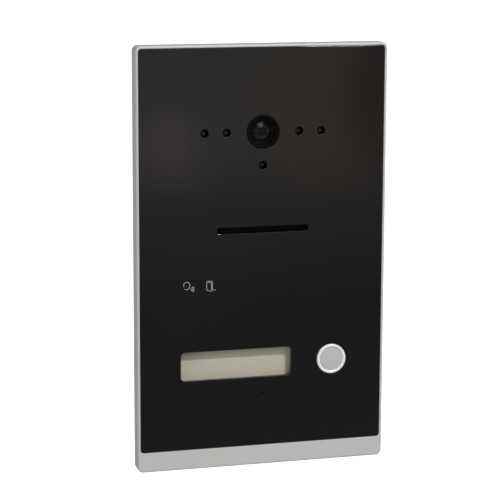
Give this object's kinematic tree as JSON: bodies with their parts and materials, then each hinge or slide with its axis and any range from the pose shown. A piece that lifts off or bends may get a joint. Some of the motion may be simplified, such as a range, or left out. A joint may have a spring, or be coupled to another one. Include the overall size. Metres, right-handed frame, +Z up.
{
  "type": "door intercom panel",
  "caption": "Flush-mounted door intercom panel: black glass front in a light grey frame with camera, infrared lamps, speaker slot, name window and a round call button.",
  "frame": {"origin": "on the wall plane, on the panel's centre line, level with the lower edge of the glass", "axes": "+X to the right as seen from the front, +Z up, +Y into the wall; the front faces -Y"},
  "size_m": [0.1084, 0.0356, 0.18],
  "materials": {
    "frame_paint": "fine satin light grey coating",
    "black_glass": "gloss, printed black on the back",
    "black_tape": "matte adhesive foam",
    "black_plastic": "fine moulded grain",
    "clear_plastic": "clear polished plastic",
    "black_metal": "black anodised, satin",
    "lens_glass": "coated optical glass",
    "sensor_chip": "image sensor under cover glass",
    "circuit_board": "green solder mask",
    "infrared_epoxy": "near-black filter epoxy",
    "black_foam": "open foam",
    "paper_cone": "pressed paper",
    "zinc_steel": "bright zinc plate",
    "label_paper": "blank cream card",
    "white_plastic": "translucent white",
    "button_satin": "satin light grey",
    "black_rubber": "matte moulded rubber",
    "terminal_green": "green moulded plastic",
    "grey_plastic": "dark grey, fine grain"
  },
  "bodies": {
    "panel": {"front_frame": "frame_paint", "front_glass": "black_glass", "glass_tape": "black_tape", "inner_carrier": "black_plastic", "camera_ring": "black_plastic", "camera_window": "clear_plastic", "lens_shroud": "black_plastic", "lens_barrel": "black_metal", "lens_element": "lens_glass", "lens_lock_ring": "black_metal", "lens_holder": "black_plastic", "image_sensor": "sensor_chip", "camera_board": "circuit_board", "ir_led_1": "infrared_epoxy", "ir_led_2": "infrared_epoxy", "ir_led_3": "infrared_epoxy", "ir_led_4": "infrared_epoxy", "day_night_sensor": "infrared_epoxy", "led_board": "circuit_board", "speaker_mesh": "black_metal", "speaker_gasket": "black_foam", "speaker_basket": "zinc_steel", "speaker_cone": "paper_cone", "speaker_magnet": "black_metal", "name_window": "clear_plastic", "name_label": "label_paper", "name_tray": "white_plastic", "talk_light_pipe": "clear_plastic", "talk_led": "white_plastic", "door_light_pipe": "clear_plastic", "door_led": "white_plastic", "button_ring": "white_plastic", "button_bush": "black_plastic", "button_spring": "zinc_steel", "button_switch": "black_plastic", "microphone_boot": "black_rubber", "microphone": "zinc_steel", "main_board": "circuit_board", "board_screw_1": "zinc_steel", "board_screw_2": "zinc_steel", "board_screw_3": "zinc_steel", "board_screw_4": "zinc_steel", "terminal_block": "terminal_green", "terminal_screw_1": "zinc_steel", "terminal_screw_2": "zinc_steel", "terminal_screw_3": "zinc_steel", "terminal_screw_4": "zinc_steel", "housing": "grey_plastic", "cover_gasket": "black_rubber", "rear_cover": "grey_plastic", "cover_screw_1": "zinc_steel", "cover_screw_2": "zinc_steel", "cover_screw_3": "zinc_steel", "cover_screw_4": "zinc_steel", "mounting_plate": "zinc_steel", "wall_gasket": "black_rubber", "security_screw": "zinc_steel"},
    "call_button": {"button_cap": "button_satin", "button_retainer": "zinc_steel", "switch_plunger": "black_plastic"}
  },
  "joints": [
    {"name": "call_button_press", "type": "slide", "parent": "panel", "child": "call_button", "axis": [0, 1, 0], "range_m": [0, 0.001], "stiffness_N_per_m": 1500, "springref_m": -0.0005, "deforming": ["button_spring"]}
  ]
}
